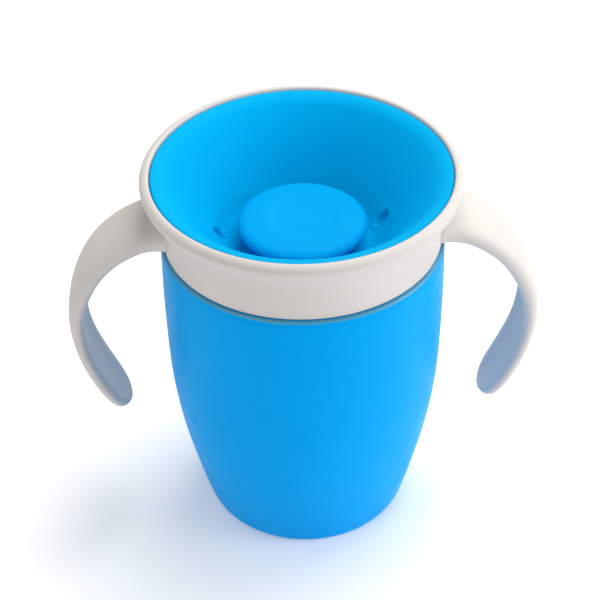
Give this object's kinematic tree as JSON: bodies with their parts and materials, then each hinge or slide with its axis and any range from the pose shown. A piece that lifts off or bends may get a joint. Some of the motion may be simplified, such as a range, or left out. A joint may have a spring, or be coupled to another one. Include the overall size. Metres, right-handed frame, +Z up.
{
  "type": "sippy cup",
  "caption": "Spill-proof trainer cup with a drinking rim all round, a silicone bowl valve with a press button, a screw collar and open side handles.",
  "frame": {"origin": "centre of the foot, on the surface the cup stands on", "axes": "+Z up along the cup's axis, +X through the right handle, +Y away from the viewer"},
  "size_m": [0.1184, 0.0782, 0.1009],
  "materials": {
    "cup_plastic": "satin polypropylene",
    "collar_plastic": "satin polypropylene",
    "carrier_plastic": "satin natural polypropylene",
    "seal_silicone": "matte silicone",
    "valve_silicone": "matte silicone",
    "button_silicone": "satin"
  },
  "bodies": {
    "cup": {"cup_body": "cup_plastic"},
    "core": {"valve_carrier": "carrier_plastic", "seal_ring": "seal_silicone"},
    "collar": {"handle_collar": "collar_plastic"},
    "valve": {"drinking_valve": "valve_silicone"},
    "button": {"press_button": "button_silicone", "stem_clip": "carrier_plastic"}
  },
  "joints": [
    {"name": "lid_rise", "type": "slide", "parent": "cup", "child": "core", "axis": [0, 0, 1], "range_m": [0, 0.024]},
    {"name": "collar_turn", "type": "hinge", "parent": "core", "child": "collar", "pos_m": [0, 0, 0.088], "axis": [0, 0, 1], "range_deg": [0, 720]},
    {"name": "valve_lift", "type": "slide", "parent": "core", "child": "valve", "axis": [0, 0, 1], "range_m": [0, 0.036]},
    {"name": "button_press", "type": "slide", "parent": "valve", "child": "button", "axis": [0, 0, -1], "range_m": [0, 0.002], "stiffness_N_per_m": 600}
  ],
  "couplings": [
    {"joint": "lid_rise", "follows": "collar_turn", "m_per_rad": 0.0019099}
  ]
}
